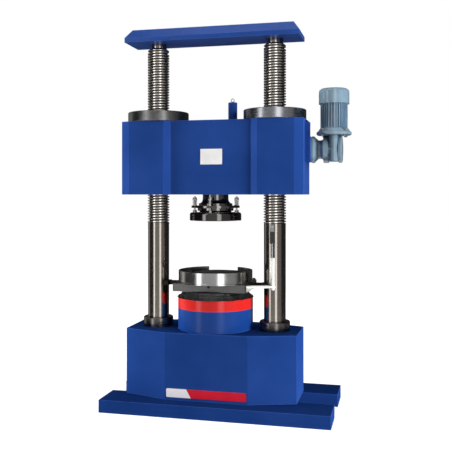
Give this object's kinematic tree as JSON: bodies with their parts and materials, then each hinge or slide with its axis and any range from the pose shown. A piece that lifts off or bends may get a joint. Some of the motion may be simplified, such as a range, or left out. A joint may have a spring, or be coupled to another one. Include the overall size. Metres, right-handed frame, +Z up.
{
  "type": "compression testing machine",
  "caption": "Two-column hydraulic compression testing machine with a motor-driven crosshead on threaded columns, a ball-seated upper platen and a lower platen on a hydraulic ram.",
  "frame": {"origin": "on the loading axis at floor level, midway between the two columns, at the centre of the four levelling holes", "axes": "+X to the operator's right, towards the motor; +Y to the back; +Z up along the loading axis"},
  "size_m": [1.425, 0.654, 2.258],
  "materials": {
    "frame_paint": "gloss",
    "bright_blue_paint": "gloss",
    "red_paint": "gloss",
    "motor_paint": "satin",
    "column_steel": "polished",
    "dark_steel": "satin",
    "bright_steel": "brushed",
    "bronze": "satin",
    "black_rubber": "matt",
    "black_paint": "satin",
    "white_paint": "satin",
    "black_plastic": "matt",
    "stop_paint": "satin",
    "sign_red": "gloss",
    "sign_white": "satin"
  },
  "bodies": {
    "frame": {"front_skid": "frame_paint", "rear_skid": "frame_paint", "base_housing": "frame_paint", "rear_cover": "frame_paint", "oil_port_block": "dark_steel", "left_column": "column_steel", "right_column": "column_steel", "left_column_collar": "dark_steel", "right_column_collar": "dark_steel", "column_lock_nuts": "dark_steel", "top_beam": "bright_blue_paint", "main_cylinder": "bright_blue_paint", "gland_ring": "red_paint", "cylinder_seals": "black_rubber", "sensor_clip": "bright_steel", "sensor_head": "black_plastic", "sensor_rod": "bright_steel", "name_strip": "sign_red", "dust_boot": "black_rubber"},
    "ram": {"ram": "bright_steel", "ram_plate": "dark_steel", "lower_platen": "dark_steel", "dust_ring": "bright_steel", "left_guide_arm": "black_paint", "right_guide_arm": "black_paint", "stop_bolt": "stop_paint", "sensor_bracket": "white_paint", "sensor_sleeve": "white_paint"},
    "crosshead": {"crosshead_body": "frame_paint", "column_bushes": "bronze", "left_nut_cover": "dark_steel", "right_nut_cover": "dark_steel", "thrust_rings": "bright_steel", "nut_chain": "dark_steel", "motor_mount_plate": "frame_paint", "gearbox_neck": "motor_paint", "gearbox_housing": "motor_paint", "gearbox_cover": "motor_paint", "motor_flange": "motor_paint", "motor_housing": "motor_paint", "fan_cowl": "motor_paint", "terminal_box": "motor_paint", "lifting_post": "frame_paint", "lifting_eye": "bright_steel", "crosshead_badge": "sign_white", "seat_holder": "dark_steel", "hanger_ring": "dark_steel"},
    "left_nut": {"left_lead_nut": "bronze"},
    "right_nut": {"right_lead_nut": "bronze", "drive_gear": "dark_steel"},
    "layshaft": {"layshaft": "bright_steel"},
    "output": {"output_shaft": "bright_steel", "reducer_wheel": "bronze"},
    "motor": {"motor_rotor": "bright_steel", "motor_fan": "black_plastic"},
    "seat_liner": {"seat_liner": "bronze"},
    "platen": {"ball_segment": "bright_steel", "upper_platen": "dark_steel", "hanger_bolts": "bright_steel", "hanger_springs": "bright_steel"}
  },
  "joints": [
    {"name": "ram_lift", "type": "slide", "parent": "frame", "child": "ram", "axis": [0, 0, 1], "range_m": [0, 0.075], "deforming": ["dust_boot"]},
    {"name": "crosshead_travel", "type": "slide", "parent": "frame", "child": "crosshead", "axis": [0, 0, 1], "range_m": [-0.16, 0.3]},
    {"name": "left_nut_spin", "type": "hinge", "parent": "crosshead", "child": "left_nut", "pos_m": [-0.361, 0, 1.484], "axis": [0, 0, 1], "range_deg": [-3602, 6752]},
    {"name": "right_nut_spin", "type": "hinge", "parent": "crosshead", "child": "right_nut", "pos_m": [0.361, 0, 1.484], "axis": [0, 0, 1], "range_deg": [-3602, 6752]},
    {"name": "layshaft_spin", "type": "hinge", "parent": "crosshead", "child": "layshaft", "pos_m": [0.492, 0.025, 1.45], "axis": [0, 0, 1], "range_deg": [-20256, 10806]},
    {"name": "output_spin", "type": "hinge", "parent": "crosshead", "child": "output", "pos_m": [0.6, 0.025, 1.523], "axis": [1, 0, 0], "range_deg": [-16209, 30384]},
    {"name": "motor_spin", "type": "hinge", "parent": "crosshead", "child": "motor", "pos_m": [0.71, -0.025, 1.6], "axis": [0, 0, 1], "range_deg": [-405200, 759600]},
    {"name": "platen_tilt_x", "type": "hinge", "parent": "crosshead", "child": "seat_liner", "pos_m": [0, 0, 1.105], "axis": [1, 0, 0], "range_deg": [-2.5, 2.5], "stiffness_Nm_per_rad": 600, "deforming": ["hanger_springs"]},
    {"name": "platen_tilt_y", "type": "hinge", "parent": "seat_liner", "child": "platen", "pos_m": [0, 0, 1.105], "axis": [0, 1, 0], "range_deg": [-2.5, 2.5], "stiffness_Nm_per_rad": 600}
  ],
  "couplings": [
    {"joint": "left_nut_spin", "follows": "crosshead_travel", "rad_per_m": 392.7},
    {"joint": "right_nut_spin", "follows": "crosshead_travel", "rad_per_m": 392.7},
    {"joint": "layshaft_spin", "follows": "crosshead_travel", "rad_per_m": -1178.1},
    {"joint": "output_spin", "follows": "crosshead_travel", "rad_per_m": 1767.1},
    {"joint": "motor_spin", "follows": "crosshead_travel", "rad_per_m": 44179}
  ]
}
